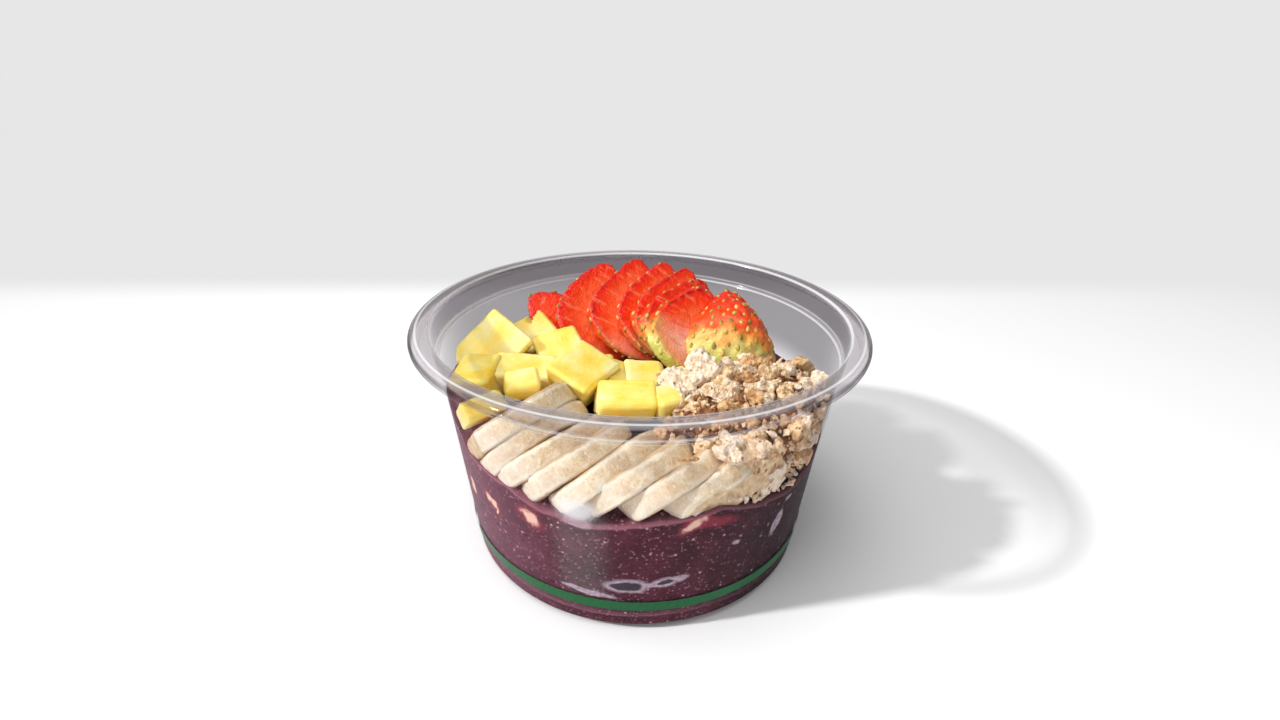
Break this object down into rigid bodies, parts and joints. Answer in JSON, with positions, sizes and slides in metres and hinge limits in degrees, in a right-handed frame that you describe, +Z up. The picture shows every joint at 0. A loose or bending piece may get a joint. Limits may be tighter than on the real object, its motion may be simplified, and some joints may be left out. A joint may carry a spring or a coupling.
{
  "type": "acai bowl",
  "caption": "Acai bowl in a clear thin-walled takeaway bowl: acai topped with a fan of banana slices, mango cubes, a fanned strawberry and a heap of granola.",
  "frame": {"origin": "middle of the base, on the surface the bowl stands on", "axes": "+Z up; the front of the bowl, where the banana slices lie, faces -Y"},
  "size_m": [0.118, 0.118, 0.0651],
  "materials": {
    "bowl": "clear, glossy",
    "acai": "thick blended fruit, slightly wet",
    "banana": "cut banana",
    "mango": "cut mango, moist",
    "strawberry": "cut strawberry, moist",
    "granola": "dry, crumbly"
  },
  "bodies": {
    "root": {"bowl": "bowl", "acai": "acai", "banana_1": "banana", "banana_2": "banana", "banana_3": "banana", "banana_4": "banana", "banana_5": "banana", "banana_6": "banana", "banana_7": "banana", "banana_8": "banana", "banana_9": "banana", "mango_1": "mango", "mango_2": "mango", "mango_3": "mango", "mango_4": "mango", "mango_5": "mango", "mango_6": "mango", "mango_7": "mango", "mango_8": "mango", "mango_9": "mango", "mango_10": "mango", "mango_11": "mango", "mango_12": "mango", "mango_13": "mango", "mango_14": "mango", "strawberry_1": "strawberry", "strawberry_2": "strawberry", "strawberry_3": "strawberry", "strawberry_4": "strawberry", "strawberry_5": "strawberry", "strawberry_6": "strawberry", "strawberry_7": "strawberry", "strawberry_8": "strawberry", "granola": "granola"}
  },
  "joints": []
}
